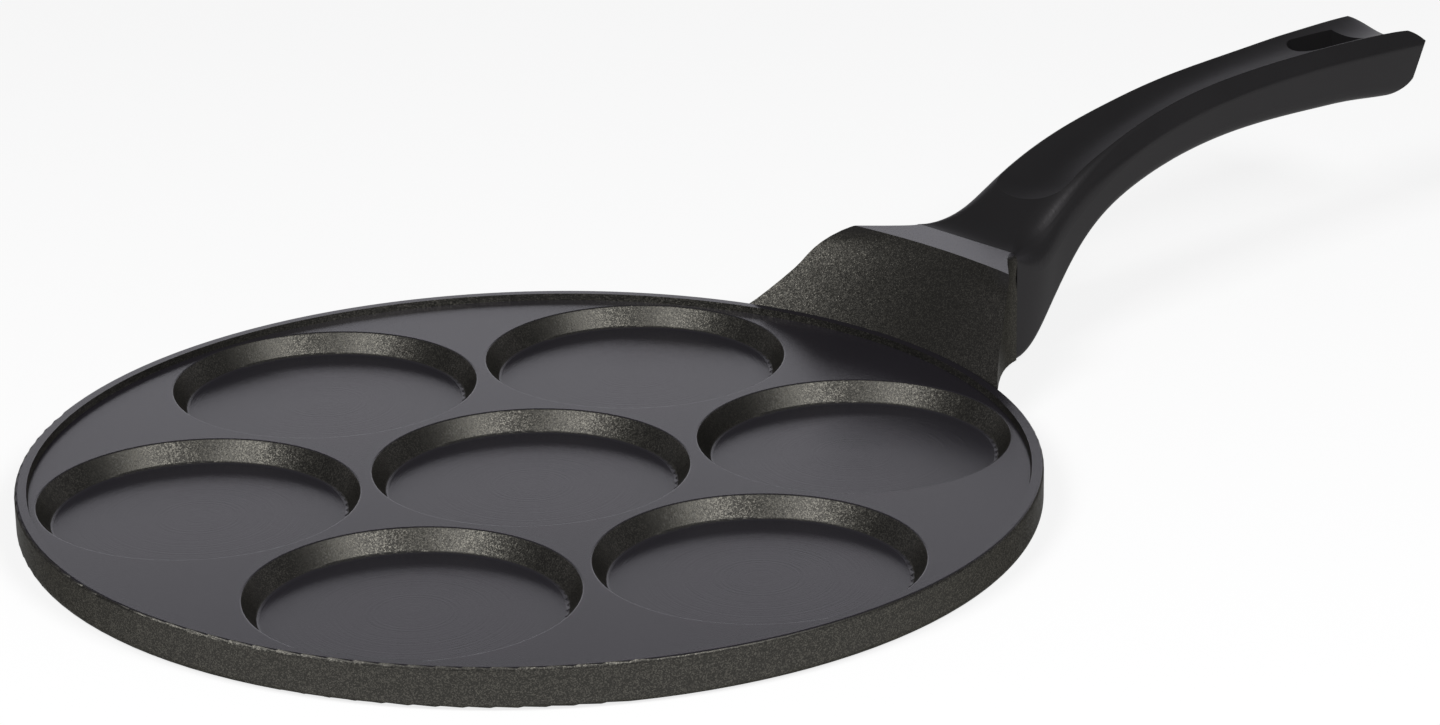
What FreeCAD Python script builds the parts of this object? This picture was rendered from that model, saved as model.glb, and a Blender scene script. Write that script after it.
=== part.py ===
import FreeCAD, Part
import math
import os

# Mini pancake pan: a cast aluminium griddle with seven round wells and a phenolic stay-cool handle.
# Units are millimetres. The origin is the centre of the flat base, +Z is up and the handle runs along +X.

V = FreeCAD.Vector
UP = V(0, 0, 1)

# Disc of the pan
pan_radius = 130.0
plate_height = 9.0          # base to cooking surface
skirt_round = 2.6           # rounding between the skirt and the base
rim_width = 3.0
rim_height = 1.8            # how far the rim stands above the cooking surface
rim_round = 0.8
rim_foot_draft = 0.4        # the rim's inner wall leans out by this much
outer_groove_radius = 118.0  # turned grooves in the base
ring_groove_depth = 0.5
ring_groove_width = 2.4
ring_groove_pitch = 17.0
ring_groove_count = 5

# Wells for the pancakes: seven equal circles that fill the disc inside the rim
well_web = 3.6              # least width of the plate between two wells
well_margin = 1.5           # least width of the plate between a well and the rim
well_radius = (pan_radius - rim_width - rim_foot_draft - well_margin - well_web) / 3  # at the cooking surface
well_ring_radius = 2 * well_radius + well_web  # centres of the outer wells
well_depth = 5.4
well_draft = 3.5            # the floor's radius is this much smaller
well_mouth_round = 0.7
well_floor_round = 1.2
outer_wells = 6
first_well_angle = 30.0     # the handle points between two wells

# Bracket, cast in one with the disc. Reaches are measured out from the rim.
bracket_rise = 23.2         # cooking surface to the milled top land
bracket_drop = 7.4          # cooking surface down to the bracket's underside
joint_reach = 27.8          # plane where the handle meets the bracket
joint_x = pan_radius + joint_reach
joint_half_width = 19.8
joint_round = 2.4           # the top edges of the flange at the joint
flange_reach = 2.6          # least length of the flange before the joint
flange_flare = 0.2          # the flange widens by this much per millimetre away from the joint
flange_bend = 0.22          # how soft the bend is between the flange and the swept side
bracket_foot_half = 46.6    # half width of the front face where it grows out of the rim
bracket_shoulder_half = 33.8
bracket_top_half = 29.4     # half width of the front face at the top land
bracket_shoulder_reach = 9.3
bracket_corner_reach = 14.3
bracket_top_reach = 16.4    # front edge of the land, on the centre line
bracket_shoulder_drop = 2.8  # below the land, where the side starts to round over
foot_fillet = 1.2           # the face spreads by this much where it runs into the rim
# Sections of the leaning face: share of the way up to the shoulder, and share of the fillet there.
# The lowest one is just inside the rim's outer rounding.
bracket_levels = ((-0.04, 1.0), (0.12, 0.3), (0.3, 0.0), (0.6, 0.0), (1.0, 0.0))
round_drop_share = 0.3      # a section half way round the rounded top edge: its drop,
round_reach_share = 0.66    # how far it has come in towards the land,
round_width_share = 0.6     # and how far it has narrowed
root_depth = 14.0           # the underside of the bracket runs this far in under the disc
root_inset = 8.0
root_overlap = 2.0
core_wall = 5.0             # metal left round the cores in the underside
core_web = 9.0              # web between the two cores, under the lug
core_roof = 8.0             # metal left under the land
core_round = 3.0
core_half_width = 24.0      # at the disc's side
core_lean = 0.73            # the front wall leans with the bracket's face
core_front_low = 5.0        # the leaning wall starts this far before the core's front

# Lug of the bracket, and the socket round it
lug_length = 17.0
lug_half_width = 9.5
lug_bottom = 4.0            # above the cooking surface
lug_top = 18.0
lug_round = 2.0
lug_root = 3.0              # the lug starts this far inside the bracket
socket_clearance = 0.25
socket_end_gap = 0.8

# Screw from below, up through the handle into the lug
screw_x = joint_x + 9.0
screw_radius = 2.5
screw_reach = 11.0          # thread in the lug
thread_bore_spare = 1.5
screw_hole_clearance = 0.3
screw_head_radius = 4.4
screw_head_height = 3.2
screw_head_round = 1.0
screw_tip_chamfer = 0.6
screw_seat = 0.2            # seat of the washer above the cooking surface
washer_radius = 5.0
washer_thickness = 1.0
recess_clearance = 0.6
recess_depth = 30.0         # down past the handle's underside
shank_hole_height = 8.0     # up into the socket
cross_width = 1.3           # cross slot in the screw's head
cross_length = 5.0
cross_depth = 1.7

# Handle. Lengths are measured from the joint.
handle_length = 184.1
slot_start = handle_length - 46.3  # round end of the hanging slot
slot_end = handle_length - 21.9    # square end
slot_half_width = 6.4
slot_low = 20.0             # the slot's cutter starts below the handle and ends above it
slot_high = 60.0
end_plan_round = 6.5        # corners of the free end, seen from above
end_plan_half = 13.8
end_plan_flare = 1.4
end_plan_depth = 14.0
end_lean = 0.5              # the rounded end leans out by this much per millimetre of height
end_tip_height = 42.6       # above the cooking surface

# Sections of the handle, from the joint to the free end. Heights are above the cooking surface.
# Share of the handle's length; top edge: height, half width; side crease: height, half width;
# bottom corner: height, half width; rounding of the top edge, of the crease and of the bottom corner.
handle_sections = [
    (0.0000, 23.2, 18.2, 21.6, 19.8, -8.0, 19.8, 2.0, 2.0, 2.5),
    (0.0282, 23.8, 15.4, 19.9, 19.6, -7.2, 19.2, 4.6, 5.6, 3.0),
    (0.0608, 26.3, 13.0, 19.4, 18.9, -4.2, 17.8, 7.0, 9.0, 3.6),
    (0.0989, 30.2, 12.3, 21.8, 17.2, 1.2, 15.8, 7.8, 12.0, 4.0),
    (0.1423, 34.2, 12.2, 26.6, 15.6, 8.4, 14.0, 6.0, 12.0, 4.2),
    (0.1966, 38.0, 11.6, 31.6, 14.6, 16.9, 12.7, 3.5, 9.0, 4.4),
    (0.2618, 41.8, 10.4, 36.0, 13.6, 23.5, 11.8, 1.8, 5.0, 4.4),
    (0.3487, 45.5, 9.1, 39.9, 12.2, 28.2, 10.9, 1.4, 3.0, 4.4),
    (0.4574, 48.5, 8.2, 43.1, 11.4, 31.5, 10.2, 1.3, 2.6, 4.4),
    (0.5877, 49.9, 8.0, 45.0, 11.2, 32.8, 10.0, 1.3, 2.4, 4.4),
    (0.7290, 50.3, 8.8, 45.6, 12.0, 32.3, 10.8, 1.3, 2.4, 4.4),
    (0.8159, 50.1, 9.7, 45.4, 12.8, 31.6, 11.5, 1.3, 2.4, 4.4),
    (0.8810, 49.8, 10.4, 45.0, 13.3, 30.4, 12.0, 1.3, 2.4, 4.4),
    (0.9462, 49.2, 11.3, 44.4, 13.8, 29.4, 12.4, 1.3, 2.4, 4.4),
    (1.0331, 48.4, 12.0, 43.6, 14.4, 28.8, 13.0, 1.3, 2.4, 4.4),
]
# Channel along the top: share of the handle's length, depth at the middle below its edges, height and
# half width of the edges. It starts above the slope and comes down through it, which leaves the thumb lip.
channel_sections = [
    (0.0989, 1.9, 32.6, 13.4),
    (0.1135, 1.9, 32.9, 13.4),
    (0.1260, 1.9, 33.3, 13.3),
    (0.1423, 2.0, 34.0, 13.0),
    (0.1749, 2.3, 36.6, 12.3),
    (0.2292, 2.4, 40.3, 11.3),
    (0.3161, 2.3, 44.4, 9.6),
    (0.4465, 2.1, 48.4, 8.4),
    (0.5877, 1.9, 50.0, 8.2),
    (0.7290, 2.1, 50.4, 9.1),
    (0.8159, 2.3, 50.3, 10.1),
    (0.8919, 2.6, 50.0, 11.1),
    (0.9354, 3.1, 49.6, 11.7),
    (0.9625, 3.5, 48.9, 12.0),
    (0.9842, 3.5, 47.5, 12.2),
    (1.0114, 3.5, 44.2, 12.4),
]
channel_lift = 14.0         # the cutter runs this far up
# Side view of the free end, down from the top: distance from the tip, height above the cooking surface.
end_points = [(-14.1, 50.4), (-8.5, 49.0), (-5.9, 47.8), (-3.7, 46.3), (-1.1, 43.9), (-0.2, 42.6),
              (-0.7, 41.0), (-3.2, 37.6), (-6.7, 34.1), (-10.9, 31.5), (-15.9, 29.8)]
end_clear_low = -20.0       # the end's outline is closed well clear of the handle
end_clear_high = 80.0
end_clear_start = -20.0
end_half_span = 30.0


def plate(z):
    """Height above the base of a point given above the cooking surface."""
    return plate_height + z


def edge(a, b):
    return Part.LineSegment(a, b).toShape()


def arc(a, b, c):
    return Part.Arc(a, b, c).toShape()


def bezier(points):
    curve = Part.BezierCurve()
    curve.setPoles(points)
    return curve.toShape()


def rounded_outline(corners):
    """Closed outline from (point, radius) corners: straight edges with a tangent arc at each corner."""
    ends = []
    count = len(corners)
    for i in range(count):
        point, radius = corners[i]
        before = corners[i - 1][0]
        after = corners[(i + 1) % count][0]
        to_before = (before - point).normalize()
        to_after = (after - point).normalize()
        half = to_before.getAngle(to_after) / 2
        cut = radius / math.tan(half)
        bisector = (to_before + to_after).normalize()
        centre = point + bisector * (radius / math.sin(half))
        start = point + to_before * cut
        middle = centre - bisector * radius
        ends.append((start, middle, point + to_after * cut))
    edges = []
    for i in range(count):
        start, middle, end = ends[i]
        edges.append(arc(start, middle, end))
        edges.append(edge(end, ends[(i + 1) % count][0]))
    return Part.Wire(edges)


def revolved(edges, centre=V(0, 0, 0)):
    """Solid of revolution about +Z from a closed profile in the XZ plane."""
    solid = Part.Face(Part.Wire(edges)).revolve(V(0, 0, 0), UP, 360)
    solid.translate(centre)
    return solid


def disc():
    """The turned blank: flat base, skirt, rim and cooking surface."""
    rim_in = pan_radius - rim_width
    rim_top = plate(rim_height)
    b = skirt_round
    c = rim_round
    k = math.sqrt(0.5)
    profile = [
        edge(V(0, 0, 0), V(pan_radius - b, 0, 0)),
        arc(V(pan_radius - b, 0, 0), V(pan_radius - b + b * k, 0, b - b * k), V(pan_radius, 0, b)),
        edge(V(pan_radius, 0, b), V(pan_radius, 0, rim_top - c)),
        arc(V(pan_radius, 0, rim_top - c), V(pan_radius - c + c * k, 0, rim_top - c + c * k),
            V(pan_radius - c, 0, rim_top)),
        edge(V(pan_radius - c, 0, rim_top), V(rim_in, 0, rim_top)),
        edge(V(rim_in, 0, rim_top), V(rim_in - rim_foot_draft, 0, plate_height)),
        edge(V(rim_in - rim_foot_draft, 0, plate_height), V(0, 0, plate_height)),
        edge(V(0, 0, plate_height), V(0, 0, 0)),
    ]
    return revolved(profile)


def ring_groove(radius):
    """Shallow turned ring in the base, cut with a round-nosed tool."""
    half = ring_groove_width / 2
    low = V(radius - half, 0, 0)
    high = V(radius + half, 0, 0)
    crown = V(radius, 0, ring_groove_depth)
    return revolved([arc(low, crown, high), edge(high, low)])


def well(centre):
    """Cutter for one pancake well: tapered wall, rounded mouth and rounded floor."""
    wall_angle = math.atan2(well_depth, well_draft)
    mouth = well_mouth_round
    floor = well_floor_round
    top = plate_height
    bottom = plate_height - well_depth
    wall = V(math.cos(wall_angle), 0, math.sin(wall_angle))
    foot = V(well_radius - well_draft, 0, bottom)
    lip = V(well_radius, 0, top)
    f_cut = floor * math.tan(wall_angle / 2)
    f_in = foot - V(f_cut, 0, 0)
    f_out = foot + wall * f_cut
    f_mid = V(f_in.x + floor * math.sin(wall_angle / 2), 0, bottom + floor * (1 - math.cos(wall_angle / 2)))
    m_cut = mouth * math.tan(wall_angle / 2)
    m_in = lip - wall * m_cut
    m_out = lip + V(m_cut, 0, 0)
    m_mid = V(m_out.x - mouth * math.sin(wall_angle / 2), 0, top - mouth * (1 - math.cos(wall_angle / 2)))
    above = top + rim_height
    profile = [
        edge(V(0, 0, bottom), f_in),
        arc(f_in, f_mid, f_out),
        edge(f_out, m_in),
        arc(m_in, m_mid, m_out),
        edge(m_out, V(m_out.x, 0, above)),
        edge(V(m_out.x, 0, above), V(0, 0, above)),
        edge(V(0, 0, above), V(0, 0, bottom)),
    ]
    return revolved(profile, centre)


def well_centres():
    centres = [V(0, 0, 0)]
    for i in range(outer_wells):
        angle = math.radians(first_well_angle + i * 360.0 / outer_wells)
        centres.append(V(well_ring_radius * math.cos(angle), well_ring_radius * math.sin(angle), 0))
    return centres


def flange_half_width(z):
    """Half width of the flange at a height: its top edges are rounded over."""
    centre = bracket_rise - joint_round
    above = max(0.0, z - centre)
    return joint_half_width - joint_round + math.sqrt(joint_round ** 2 - above ** 2)


def bracket_section(z, corner_x, corner_y, middle_x):
    """Level section of the bracket: curved front, sides that sweep in to the flange, flat joint face."""
    level = plate(z)
    joint_y = flange_half_width(z)
    turn_x = (corner_x + corner_y - joint_y - flange_flare * joint_x) / (1 - flange_flare)
    turn_x = min(turn_x, joint_x - flange_reach)
    turn_y = joint_y + flange_flare * (joint_x - turn_x)
    edges = [arc(V(corner_x, corner_y, level), V(middle_x, 0, level), V(corner_x, -corner_y, level))]
    sides = []
    for side in (-1, 1):
        corner = V(corner_x, side * corner_y, level)
        turn = V(turn_x, side * turn_y, level)
        joint = V(joint_x, side * joint_y, level)
        sides.append([corner, turn + (corner - turn) * flange_bend, turn + (joint - turn) * flange_bend, joint])
    right, left = sides
    edges.append(bezier(right))
    edges.append(edge(right[3], left[3]))
    edges.append(bezier(left[::-1]))
    return Part.Wire(edges)


def bracket():
    """Front face leaning back from the rim to the land, with the sides rounded over at the top."""
    foot_x = math.sqrt(pan_radius ** 2 - bracket_foot_half ** 2)
    shoulder_x = pan_radius + bracket_shoulder_reach
    corner_x = pan_radius + bracket_corner_reach
    shoulder_z = bracket_rise - bracket_shoulder_drop
    near_z = bracket_rise - bracket_shoulder_drop * round_drop_share
    rows = []
    for share, fillet in bracket_levels:
        half = bracket_foot_half + share * (bracket_shoulder_half - bracket_foot_half)
        rows.append((rim_height + share * (shoulder_z - rim_height), foot_x + share * (shoulder_x - foot_x),
                     half + fillet * foot_fillet))
    rows.append((near_z, shoulder_x + round_reach_share * (corner_x - shoulder_x),
                 bracket_shoulder_half + round_width_share * (bracket_top_half - bracket_shoulder_half)))
    rows.append((bracket_rise, corner_x, bracket_top_half))
    sections = []
    for z, x, y in rows:
        face = (z - rim_height) / (bracket_rise - rim_height)
        sections.append(bracket_section(z, x, y, pan_radius + face * bracket_top_reach))
    upper = Part.makeLoft(sections, True, False)
    lower = Part.Face(sections[0]).extrude(V(0, 0, -rows[0][0] - bracket_drop))
    low = plate(-bracket_drop)
    inner_x = foot_x - root_depth
    inner_y = bracket_foot_half - root_inset
    root_wire = Part.makePolygon([V(inner_x, -inner_y, low), V(foot_x, -bracket_foot_half, low),
                                  V(foot_x, bracket_foot_half, low), V(inner_x, inner_y, low),
                                  V(inner_x, -inner_y, low)])
    root = Part.Face(root_wire).extrude(V(0, 0, bracket_drop - root_overlap))
    return upper.fuse([lower, root])


def core(side):
    """One of the two cores that lighten the underside of the bracket; side is 1 or -1."""
    low = plate(-bracket_drop) - 1.0
    web = core_web / 2
    back = joint_x - core_wall - 2.0
    front = pan_radius + core_wall
    wide = core_half_width
    narrow = joint_half_width - core_wall
    corners = [
        (V(front, side * web, low), core_round),
        (V(back, side * web, low), core_round),
        (V(back, side * narrow, low), core_round),
        (V(front + 2.0, side * wide, low), core_round),
    ]
    base = Part.Face(rounded_outline(corners))
    tall = plate(bracket_rise - core_roof) - low
    prism = base.extrude(V(0, 0, tall))
    foot = front - core_front_low
    head = foot + core_lean * tall
    outside = side * pan_radius
    lean = Part.Face(Part.makePolygon([V(foot, outside, low), V(foot, 0, low), V(head, 0, low + tall),
                                       V(head, outside, low + tall), V(foot, outside, low)]))
    keep = lean.extrude(V(pan_radius, 0, 0))
    return prism.common(keep)


def lug():
    """Tongue of the bracket that goes into the handle."""
    start = joint_x - lug_root
    corners = []
    for y, z in ((-1, lug_bottom), (1, lug_bottom), (1, lug_top), (-1, lug_top)):
        corners.append((V(start, y * lug_half_width, plate(z)), lug_round))
    return Part.Face(rounded_outline(corners)).extrude(V(lug_length + lug_root, 0, 0))


def pan_body():
    body = disc()
    grooves = []
    for i in range(ring_groove_count):
        grooves.append(ring_groove(outer_groove_radius - i * ring_groove_pitch))
    body = body.cut(grooves)
    body = body.fuse([bracket(), lug()]).removeSplitter()
    body = body.cut([core(1), core(-1)])
    body = body.cut([well(centre) for centre in well_centres()])
    depth = screw_reach + thread_bore_spare
    bore = Part.makeCylinder(screw_radius, depth, V(screw_x, 0, plate(lug_bottom)), UP)
    return body.cut(bore)


def handle_outline(row):
    """Cross section of the handle in a plane across its length."""
    share, top_z, top_y, crease_z, crease_y, low_z, low_y, top_r, crease_r, low_r = row
    x = joint_x + share * handle_length
    half = [(top_y, top_z, top_r), (crease_y, crease_z, crease_r), (low_y, low_z, low_r)]
    corners = [(V(x, y, plate(z)), r) for y, z, r in half]
    corners += [(V(x, -y, plate(z)), r) for y, z, r in reversed(half)]
    return rounded_outline(corners)


def handle_blank():
    return Part.makeLoft([handle_outline(row) for row in handle_sections], True, False)


def channel():
    """Cutter for the channel: a shallow round-bottomed trough between the two ridges."""
    sections = []
    for share, depth, height, half in channel_sections:
        x = joint_x + share * handle_length
        left = V(x, half, plate(height))
        right = V(x, -half, plate(height))
        middle = V(x, 0, plate(height - 2 * depth))
        lift = V(0, 0, channel_lift)
        sections.append(Part.Wire([bezier([left, middle, right]), edge(right, right + lift),
                                   edge(right + lift, left + lift), edge(left + lift, left)]))
    return Part.makeLoft(sections, True, False)


def end_profile():
    """Side view of the free end, as a thick plate: the handle is what lies inside it."""
    points = [V(joint_x + handle_length + back, 0, plate(z)) for back, z in end_points]
    spline = Part.BSplineCurve()
    spline.interpolate(points)
    first = points[0]
    last = points[-1]
    start = joint_x + end_clear_start
    low_end = V(last.x, 0, end_clear_low)
    low_start = V(start, 0, end_clear_low)
    high_start = V(start, 0, end_clear_high)
    high_end = V(first.x, 0, end_clear_high)
    outer = Part.Wire([spline.toShape(), edge(last, low_end), edge(low_end, low_start),
                       edge(low_start, high_start), edge(high_start, high_end), edge(high_end, first)])
    body = Part.Face(outer).extrude(V(0, 2 * end_half_span, 0))
    body.translate(V(0, -end_half_span, 0))
    return body


def end_plan():
    """Plan view of the free end with its rounded corners."""
    low = end_clear_low
    tall = end_clear_high - end_clear_low
    far = joint_x + handle_length - end_lean * (plate(end_tip_height) - low)
    shoulder = far - end_plan_depth
    start = joint_x + end_clear_start - end_lean * tall
    span = end_half_span
    wide = end_plan_half + end_plan_flare
    half = [(V(start, span, low), 1.0), (V(shoulder, span, low), 1.0), (V(shoulder, wide, low), 0.5),
            (V(far, end_plan_half, low), end_plan_round)]
    other = [(V(point.x, -point.y, low), radius) for point, radius in reversed(half)]
    return Part.Face(rounded_outline(half + other)).extrude(V(end_lean * tall, 0, tall))


def hanging_slot():
    """Slot for a hook: round at the pan's side and square at the free end."""
    r = slot_half_width
    centre = V(joint_x + slot_start + r, 0, plate(slot_low))
    left = V(joint_x + slot_end, r, plate(slot_low))
    right = V(joint_x + slot_end, -r, plate(slot_low))
    side = V(0, r, 0)
    outline = Part.Wire([arc(centre + side, centre - V(r, 0, 0), centre - side), edge(centre - side, right),
                         edge(right, left), edge(left, centre + side)])
    return Part.Face(outline).extrude(V(0, 0, slot_high - slot_low))


def socket():
    """Pocket in the handle's front that takes the lug."""
    grow = socket_clearance
    corners = []
    for y, z in ((-1, lug_bottom - grow), (1, lug_bottom - grow), (1, lug_top + grow), (-1, lug_top + grow)):
        corners.append((V(joint_x - 1.0, y * (lug_half_width + grow), plate(z)), lug_round))
    return Part.Face(rounded_outline(corners)).extrude(V(lug_length + socket_end_gap + 1.0, 0, 0))


def handle():
    body = handle_blank().cut(channel())
    body = body.common(end_profile()).common(end_plan())
    body = body.cut([hanging_slot(), socket()])
    seat = plate(screw_seat)
    middle = V(screw_x, 0, seat)
    shank_hole = Part.makeCylinder(screw_radius + screw_hole_clearance, shank_hole_height, middle, UP)
    recess = Part.makeCylinder(washer_radius + recess_clearance, recess_depth, middle, -UP)
    return body.cut([shank_hole, recess])


def handle_screw():
    """Pan-head screw with a cross slot, head down."""
    seat = plate(screw_seat) - washer_thickness
    top = plate(lug_bottom) + screw_reach
    r = screw_head_radius
    c = screw_head_round
    tip = screw_tip_chamfer
    k = math.sqrt(0.5)
    low = seat - screw_head_height
    profile = [
        edge(V(0, 0, low), V(r - c, 0, low)),
        arc(V(r - c, 0, low), V(r - c + c * k, 0, low + c - c * k), V(r, 0, low + c)),
        edge(V(r, 0, low + c), V(r, 0, seat)),
        edge(V(r, 0, seat), V(screw_radius, 0, seat)),
        edge(V(screw_radius, 0, seat), V(screw_radius, 0, top - tip)),
        edge(V(screw_radius, 0, top - tip), V(screw_radius - tip, 0, top)),
        edge(V(screw_radius - tip, 0, top), V(0, 0, top)),
        edge(V(0, 0, top), V(0, 0, low)),
    ]
    screw = revolved(profile, V(screw_x, 0, 0))
    slots = []
    for long_x, long_y in ((cross_length, cross_width), (cross_width, cross_length)):
        corner = V(screw_x - long_x / 2, -long_y / 2, low - 1.0)
        slots.append(Part.makeBox(long_x, long_y, cross_depth + 1.0, corner))
    return screw.cut(slots)


def screw_washer():
    seat = plate(screw_seat)
    ring = Part.makeCylinder(washer_radius, washer_thickness, V(screw_x, 0, seat - washer_thickness), UP)
    hole = Part.makeCylinder(screw_radius, washer_thickness + 2, V(screw_x, 0, seat - washer_thickness - 1), UP)
    return ring.cut(hole)


def save(shape, name):
    solids = shape.Solids
    print(name, "solids", len(solids), "valid", shape.isValid(), "volume cm3", round(shape.Volume / 1000, 2))
    solid = solids[0] if len(solids) == 1 else shape
    solid.exportStep("parts/" + name + ".step")


os.makedirs("parts", exist_ok=True)
save(pan_body(), "pan_body")
save(handle(), "handle")
save(handle_screw(), "handle_screw")
save(screw_washer(), "screw_washer")
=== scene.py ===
import math

import bpy
from mathutils import Matrix, Vector

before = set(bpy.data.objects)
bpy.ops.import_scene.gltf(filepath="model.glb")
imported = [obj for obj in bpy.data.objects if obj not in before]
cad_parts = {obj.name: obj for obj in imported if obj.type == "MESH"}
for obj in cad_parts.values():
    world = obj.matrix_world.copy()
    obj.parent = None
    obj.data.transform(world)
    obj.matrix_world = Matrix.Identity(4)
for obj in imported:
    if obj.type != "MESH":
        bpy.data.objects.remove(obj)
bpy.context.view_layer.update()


# The pan body: one aluminium casting with the disc, its rim, the seven wells and the handle bracket.
# It is sprayed all over with a dark non-stick coat that carries metal flecks. The cooking surface, the
# well floors and the top of the bracket are turned or milled, and what looks up is then coated satin.

plate_level = 0.009  # the cooking surface, in metres above the base
lines_end_level = 0.006  # between the well floors and the cooking surface
well_ring_radius = 0.0846
first_well_angle = math.radians(30)
well_step = math.radians(60)

satin_full_to = math.cos(math.radians(23))  # how far a face leans before its satin coat thins
satin_ends_at = math.cos(math.radians(44))
satin_roughness = 0.23
turning_line_gap = 0.0007
spray_grain = 0.00045
film_patch = 0.0357
relief_depth = 0.0002

fleck_size = 0.00025  # drawn coarser than the real 0.1 mm, which would not show
flecks_show_from = 0.5  # the duller half of the flecks sink into the film
fleck_tilt = 0.2
fleck_metal = 0.95
fleck_roughness = 0.43
film_edge_tint = (0.34, 0.34, 0.34, 1.0)

no_height = (1.0, 1.0, 0.0)
untilted_colour = (0.5, 0.5, 0.5)


def linear(hex_colour):
    """An sRGB hex colour as the linear RGBA that the shader works in."""
    channels = [int(hex_colour[i:i + 2], 16) / 255 for i in (1, 3, 5)]
    return tuple(c / 12.92 if c <= 0.04045 else ((c + 0.055) / 1.055) ** 2.4 for c in channels) + (1.0,)


def new_finish(name):
    """A material with an empty node tree."""
    material = bpy.data.materials.new(name)
    material.use_nodes = True
    material.node_tree.nodes.clear()
    return material


def add(tree, kind, inputs=(), **settings):
    """Adds a node with its settings, and links or fills its inputs from pairs of socket and source."""
    node = tree.nodes.new(kind)
    for name, value in settings.items():
        setattr(node, name, value)
    for socket, source in inputs:
        if isinstance(source, bpy.types.NodeSocket):
            tree.links.new(source, node.inputs[socket])
        else:
            node.inputs[socket].default_value = source
    return node


# The flecks under a dark film make the cast faces a warm, grainy near-black that glints where light
# falls on it. The satin coat is a smoother, cooler grey that mirrors the backdrop softly.
cast_coat = new_finish("sprayed_nonstick_on_cast_aluminium")
tree = cast_coat.node_tree
place = add(tree, "ShaderNodeTexCoord").outputs["Object"]
facing = add(tree, "ShaderNodeNewGeometry")
axes = add(tree, "ShaderNodeSeparateXYZ", [("Vector", place)])
lean = add(tree, "ShaderNodeSeparateXYZ", [("Vector", facing.outputs["Normal"])])

# The satin coat lies on the faces that look up, and runs out over their rounded edges.
smooth_coat = add(tree, "ShaderNodeMapRange",
                  [("Value", lean.outputs["Z"]), ("From Min", satin_ends_at), ("From Max", satin_full_to)])
rough_coat = add(tree, "ShaderNodeMath", [(0, 1.0), (1, smooth_coat.outputs["Result"])],
                 operation="SUBTRACT")

# Distance from the nearest well's centre: the six outer wells are folded onto one by their angle.
from_axis = add(tree, "ShaderNodeVectorMath", [(0, place), (1, no_height)], operation="MULTIPLY")
axis_distance = add(tree, "ShaderNodeVectorMath", [(0, from_axis.outputs["Vector"])], operation="LENGTH")
angle = add(tree, "ShaderNodeMath", [(0, axes.outputs["Y"]), (1, axes.outputs["X"])], operation="ARCTAN2")
turned = add(tree, "ShaderNodeMath", [(0, angle.outputs[0]), (1, first_well_angle)], operation="SUBTRACT")
folded = add(tree, "ShaderNodeMath", [(0, turned.outputs[0]), (1, well_step / 2), (2, -well_step / 2)],
             operation="WRAP")
along = add(tree, "ShaderNodeMath", [(0, folded.outputs[0])], operation="COSINE")
across = add(tree, "ShaderNodeMath", [(0, folded.outputs[0])], operation="SINE")
direction = add(tree, "ShaderNodeCombineXYZ", [("X", along.outputs[0]), ("Y", across.outputs[0])])
folded_place = add(tree, "ShaderNodeVectorMath",
                   [(0, direction.outputs["Vector"]), ("Scale", axis_distance.outputs["Value"])],
                   operation="SCALE")
outer_distance = add(tree, "ShaderNodeVectorMath",
                     [(0, folded_place.outputs["Vector"]), (1, (well_ring_radius, 0.0, 0.0))],
                     operation="DISTANCE")
well_distance = add(tree, "ShaderNodeMath",
                    [(0, axis_distance.outputs["Value"]), (1, outer_distance.outputs["Value"])],
                    operation="MINIMUM")

# Turning lines in the well floors, uneven as a worn tool leaves them.
lines = add(tree, "ShaderNodeTexNoise",
            [("W", well_distance.outputs[0]), ("Scale", 1 / turning_line_gap), ("Detail", 2.0),
             ("Roughness", 0.6)], noise_dimensions="1D")
in_wells = add(tree, "ShaderNodeMath", [(0, axes.outputs["Z"]), (1, lines_end_level)],
               operation="LESS_THAN")
floor_lines = add(tree, "ShaderNodeMath", [(0, lines.outputs["Fac"]), (1, in_wells.outputs[0])],
                  operation="MULTIPLY")

# Spray grain of the coat, and slow changes in its film thickness.
grain = add(tree, "ShaderNodeTexNoise", [("Vector", place), ("Scale", 1 / spray_grain), ("Detail", 2.0)])
film = add(tree, "ShaderNodeTexNoise",
           [("Vector", place), ("Scale", 1 / film_patch), ("Detail", 3.0), ("Roughness", 0.55)])

# Metal flecks, each lying at its own angle in the rough coat.
flecks = add(tree, "ShaderNodeTexVoronoi", [("Vector", place), ("Scale", 1 / fleck_size)])
fleck_draw = add(tree, "ShaderNodeSeparateXYZ", [("Vector", flecks.outputs["Color"])])
fleck_here = add(tree, "ShaderNodeMapRange",
                 [("Value", fleck_draw.outputs["X"]), ("From Min", flecks_show_from), ("From Max", 1.0)])
fleck_mask = add(tree, "ShaderNodeMath", [(0, fleck_here.outputs["Result"]), (1, rough_coat.outputs[0])],
                 operation="MULTIPLY")
tilt = add(tree, "ShaderNodeVectorMath", [(0, flecks.outputs["Color"]), (1, untilted_colour)],
           operation="SUBTRACT")
tilt_here = add(tree, "ShaderNodeMath", [(0, rough_coat.outputs[0]), (1, fleck_tilt)],
                operation="MULTIPLY")
tilt_scaled = add(tree, "ShaderNodeVectorMath",
                  [(0, tilt.outputs["Vector"]), ("Scale", tilt_here.outputs[0])], operation="SCALE")

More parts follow.
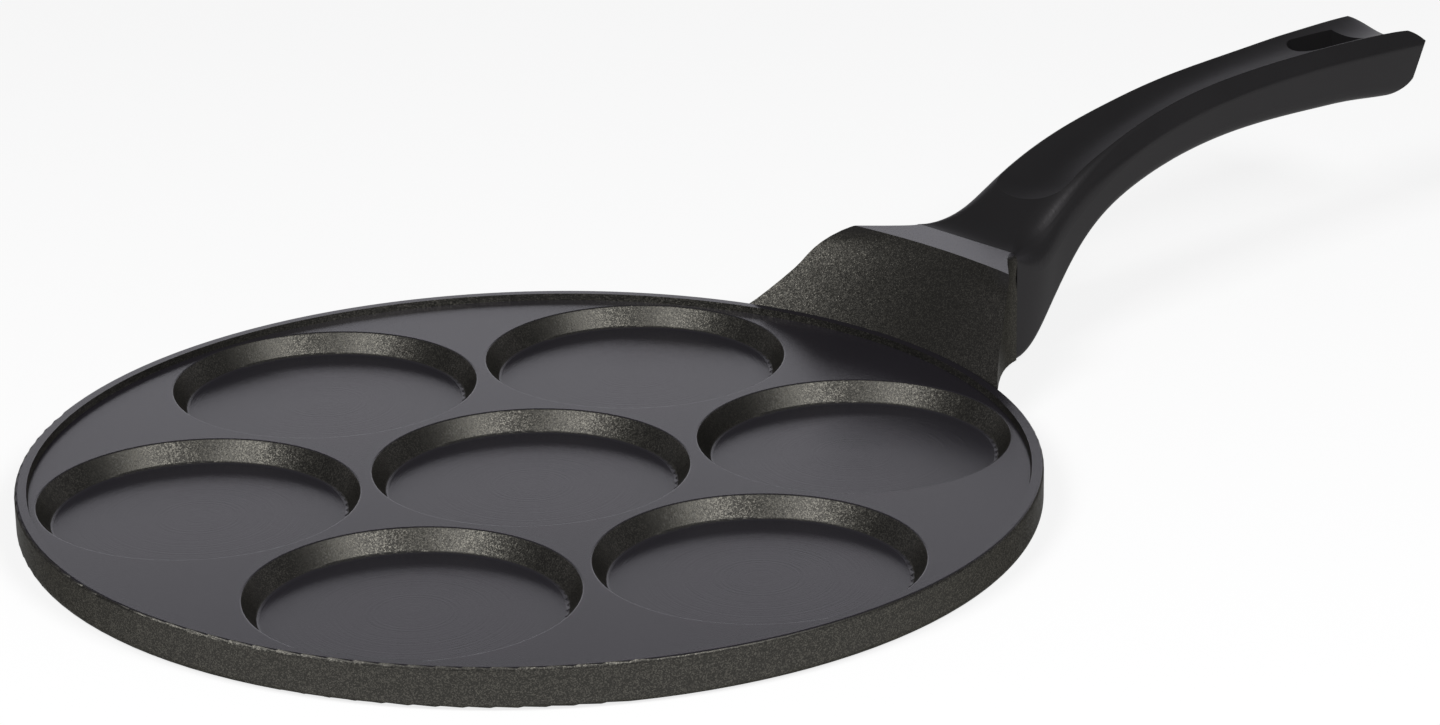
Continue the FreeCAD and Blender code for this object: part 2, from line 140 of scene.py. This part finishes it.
satin_tint = add(tree, "ShaderNodeMix",
                 [("Factor", film.outputs["Fac"]), ("A", linear("#1d1b1f")), ("B", linear("#222025"))],
                 data_type="RGBA")
satin_lines = add(tree, "ShaderNodeMix",
                  [("Factor", floor_lines.outputs[0]), ("A", satin_tint.outputs["Result"]),
                   ("B", linear("#2a292d"))], data_type="RGBA")
fleck_tint = add(tree, "ShaderNodeMix",
                 [("Factor", fleck_mask.outputs[0]), ("A", linear("#3c3b38")), ("B", linear("#5e5c56"))],
                 data_type="RGBA")
tint = add(tree, "ShaderNodeMix",
           [("Factor", smooth_coat.outputs["Result"]), ("A", fleck_tint.outputs["Result"]),
            ("B", satin_lines.outputs["Result"])], data_type="RGBA")

height = add(tree, "ShaderNodeMath", [(0, grain.outputs["Fac"]), (1, floor_lines.outputs[0])],
             operation="ADD")
relief = add(tree, "ShaderNodeBump",
             [("Height", height.outputs[0]), ("Strength", 0.12), ("Distance", relief_depth)])
leaning = add(tree, "ShaderNodeVectorMath",
              [(0, relief.outputs["Normal"]), (1, tilt_scaled.outputs["Vector"])], operation="ADD")
fleck_facing = add(tree, "ShaderNodeVectorMath", [(0, leaning.outputs["Vector"])], operation="NORMALIZE")

# The flecks lie close together, so the rough coat is nearly all metal. The dark film over them takes
# the light that grazes it, which the edge tint gives.
metal = add(tree, "ShaderNodeMath", [(0, rough_coat.outputs[0]), (1, fleck_metal)], operation="MULTIPLY")
roughness = add(tree, "ShaderNodeMapRange",
                [("Value", smooth_coat.outputs["Result"]), ("To Min", fleck_roughness),
                 ("To Max", satin_roughness)])
surface = add(tree, "ShaderNodeBsdfPrincipled",
              [("Base Color", tint.outputs["Result"]), ("Metallic", metal.outputs[0]),
               ("Roughness", roughness.outputs["Result"]), ("IOR", 1.6),
               ("Specular Tint", film_edge_tint), ("Normal", fleck_facing.outputs["Vector"])])
add(tree, "ShaderNodeOutputMaterial", [("Surface", surface.outputs["BSDF"])])
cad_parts["pan_body"].material_slots[0].material = cast_coat


# The handle: one moulding in black phenolic, pressed over the bracket's lug. It is tumbled after
# moulding, so its skin is satin with a very fine even grain. The index is set below phenolic's own, and
# a share of metal with a dark edge tint stops the handle's sides from mirroring the floor.

skin_grain = 0.00055
skin_depth = 0.0001
skin_roughness = 0.42
skin_edge_tint = (0.4, 0.4, 0.4, 1.0)
rubbed_patch = 0.0286
rubbed_roughness = 0.36

phenolic = new_finish("moulded_black_phenolic")
tree = phenolic.node_tree
place = add(tree, "ShaderNodeTexCoord").outputs["Object"]
skin = add(tree, "ShaderNodeTexNoise", [("Vector", place), ("Scale", 1 / skin_grain), ("Detail", 3.0)])
rubbed = add(tree, "ShaderNodeTexNoise", [("Vector", place), ("Scale", 1 / rubbed_patch), ("Detail", 4.0)])
black = add(tree, "ShaderNodeMix",
            [("Factor", rubbed.outputs["Fac"]), ("A", linear("#302f30")), ("B", linear("#363536"))],
            data_type="RGBA")
roughness = add(tree, "ShaderNodeMapRange",
                [("Value", rubbed.outputs["Fac"]), ("To Min", rubbed_roughness),
                 ("To Max", skin_roughness)])
relief = add(tree, "ShaderNodeBump",
             [("Height", skin.outputs["Fac"]), ("Strength", 0.1), ("Distance", skin_depth)])
surface = add(tree, "ShaderNodeBsdfPrincipled",
              [("Base Color", black.outputs["Result"]), ("Metallic", 0.6),
               ("Roughness", roughness.outputs["Result"]), ("IOR", 1.3),
               ("Specular Tint", skin_edge_tint), ("Normal", relief.outputs["Normal"])])
add(tree, "ShaderNodeOutputMaterial", [("Surface", surface.outputs["BSDF"])])
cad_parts["handle"].material_slots[0].material = phenolic


# The handle screw: a zinc-plated steel pan-head screw, driven from below through the handle into
# the lug. Its head was cold-formed and then plated, which leaves a soft grey metal.

plating_bloom = 0.0011
bright_roughness = 0.28
dull_roughness = 0.42

zinc = new_finish("zinc_plated_steel")
tree = zinc.node_tree
place = add(tree, "ShaderNodeTexCoord").outputs["Object"]
bloom = add(tree, "ShaderNodeTexNoise",
            [("Vector", place), ("Scale", 1 / plating_bloom), ("Detail", 4.0)])
plating = add(tree, "ShaderNodeMix",
              [("Factor", bloom.outputs["Fac"]), ("A", linear("#a9acae")), ("B", linear("#c3c5c6"))],
              data_type="RGBA")
roughness = add(tree, "ShaderNodeMapRange",
                [("Value", bloom.outputs["Fac"]), ("To Min", bright_roughness),
                 ("To Max", dull_roughness)])
surface = add(tree, "ShaderNodeBsdfPrincipled",
              [("Base Color", plating.outputs["Result"]), ("Metallic", 1.0),
               ("Roughness", roughness.outputs["Result"])])
add(tree, "ShaderNodeOutputMaterial", [("Surface", surface.outputs["BSDF"])])
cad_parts["handle_screw"].material_slots[0].material = zinc


# The screw washer: a plain steel ring that spreads the head's load on the moulding. It is stamped
# and has the same plating as the screw.

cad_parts["screw_washer"].material_slots[0].material = zinc


# The floor: white studio paper, which runs on to the horizon. A share of its white is plain to
# whatever looks at it or mirrors it, and the rest is lit, so that it keeps the pan's soft shadow.

floor_half = 40.0
floor_gap = 0.0003
plain_share = 0.8

corners = [(x * floor_half, y * floor_half, -floor_gap) for x, y in ((-1, -1), (1, -1), (1, 1), (-1, 1))]
floor_mesh = bpy.data.meshes.new("floor")
floor_mesh.from_pydata(corners, [], [(0, 1, 2, 3)])
floor = bpy.data.objects.new("floor", floor_mesh)
bpy.context.scene.collection.objects.link(floor)


def seen(tree):
    """1 for a ray that looks at the surface, mirrors it or reaches it through glass, and 0 for others."""
    path = add(tree, "ShaderNodeLightPath")
    direct = add(tree, "ShaderNodeMath",
                 [(0, path.outputs["Is Camera Ray"]), (1, path.outputs["Is Glossy Ray"])],
                 operation="MAXIMUM")
    return add(tree, "ShaderNodeMath", [(0, direct.outputs[0]), (1, path.outputs["Is Transmission Ray"])],
               operation="MAXIMUM").outputs[0]


# The plain share lights nothing by itself, so it isn't sampled as a lamp.
paper = new_finish("white_studio_paper")
paper.cycles.emission_sampling = "NONE"
tree = paper.node_tree
plain = add(tree, "ShaderNodeMath", [(0, seen(tree)), (1, plain_share)], operation="MULTIPLY")
lit_white = add(tree, "ShaderNodeBsdfDiffuse", [("Color", linear("#7c7c7c"))])
plain_white = add(tree, "ShaderNodeEmission",
                  [("Color", linear("#ffffff")), ("Strength", plain.outputs[0])])
white = add(tree, "ShaderNodeAddShader",
            [(0, lit_white.outputs["BSDF"]), (1, plain_white.outputs["Emission"])])
add(tree, "ShaderNodeOutputMaterial", [("Surface", white.outputs["Shader"])])
floor_mesh.materials.append(paper)


# The light: two soft boxes above the camera, to its left and right, in a dim room with a white wall
# behind the pan. The wall is as wide and as high as the cooking surface mirrors it, and it is plain white
# to what looks at it or mirrors it, but doesn't light the rest.

aim = Vector((0.08548, 0.02158, plate_level))  # where the middle of the photograph lies on the pan
view_azimuth = -42.55  # the camera's side, in degrees from -Y towards +X
room_tint = (0.94, 0.93, 1.0, 1.0)
dim = 0.1
wall_top_fades_from = math.sin(math.radians(21))
wall_top_ends_at = math.sin(math.radians(28))
wall_side_fades_from = math.cos(math.radians(55))
wall_side_ends_at = math.cos(math.radians(75))
box_sides = {"left_box": -39.0, "right_box": 39.0}
box_elevation = 43.0
box_distance = 1.8
box_size = 0.7
box_power = 19.0


def towards(azimuth, elevation):
    """The direction from the pan, with the azimuth counted from -Y towards +X, both in degrees."""
    side = math.radians(azimuth)
    rise = math.radians(elevation)
    return Vector((math.sin(side) * math.cos(rise), -math.cos(side) * math.cos(rise), math.sin(rise)))


world = bpy.data.worlds.new("studio")
world.use_nodes = True
world.cycles.sampling_method = "NONE"
bpy.context.scene.world = world
tree = world.node_tree
tree.nodes.clear()
outward = add(tree, "ShaderNodeTexCoord").outputs["Generated"]
skyward = add(tree, "ShaderNodeSeparateXYZ", [("Vector", outward)])
wall_height = add(tree, "ShaderNodeMapRange",
                  [("Value", skyward.outputs["Z"]), ("From Min", wall_top_fades_from),
                   ("From Max", wall_top_ends_at), ("To Min", 1.0), ("To Max", 0.0)],
                  interpolation_type="SMOOTHSTEP")
behind = add(tree, "ShaderNodeVectorMath", [(0, outward), (1, -towards(view_azimuth, 0.0))],
             operation="DOT_PRODUCT")
wall_width = add(tree, "ShaderNodeMapRange",
                 [("Value", behind.outputs["Value"]), ("From Min", wall_side_ends_at),
                  ("From Max", wall_side_fades_from)], interpolation_type="SMOOTHSTEP")
wall = add(tree, "ShaderNodeMath", [(0, wall_height.outputs["Result"]), (1, wall_width.outputs["Result"])],
           operation="MULTIPLY")
wall_seen = add(tree, "ShaderNodeMath", [(0, wall.outputs[0]), (1, seen(tree))], operation="MULTIPLY")
strength = add(tree, "ShaderNodeMapRange",
               [("Value", wall_seen.outputs[0]), ("To Min", dim), ("To Max", 1.0)])
backdrop = add(tree, "ShaderNodeBackground",
               [("Color", room_tint), ("Strength", strength.outputs["Result"])])
add(tree, "ShaderNodeOutputWorld", [("Surface", backdrop.outputs["Background"])])

for name, from_camera in box_sides.items():
    out = towards(view_azimuth + from_camera, box_elevation)
    lamp = bpy.data.lights.new(name, "AREA")
    lamp.shape = "SQUARE"
    lamp.size = box_size
    lamp.energy = box_power
    soft_box = bpy.data.objects.new(name, lamp)
    soft_box.location = aim + out * box_distance
    soft_box.rotation_euler = out.to_track_quat("Z", "Y").to_euler()
    bpy.context.scene.collection.objects.link(soft_box)


# The camera: at the photograph's angle, with a long lens and the frame level to within a degree.

camera_elevation = 20.16
camera_roll = math.radians(-0.85)
camera_distance = 1.19526

back = towards(view_azimuth, camera_elevation)
right = (-back).cross(Vector((0, 0, 1))).normalized()
up = right.cross(-back)
turned_right = right * math.cos(camera_roll) + up * math.sin(camera_roll)
turned_up = up * math.cos(camera_roll) - right * math.sin(camera_roll)
camera_turn = Matrix((turned_right, turned_up, back)).transposed().to_4x4()
camera_data = bpy.data.cameras.new("camera")
camera_data.lens = 110.79
camera_data.sensor_width = 36.0
camera_data.sensor_fit = "HORIZONTAL"
camera = bpy.data.objects.new("camera", camera_data)
camera.matrix_world = Matrix.Translation(aim + back * camera_distance) @ camera_turn
bpy.context.scene.collection.objects.link(camera)
bpy.context.scene.camera = camera
bpy.context.scene.view_settings.view_transform = "Standard"
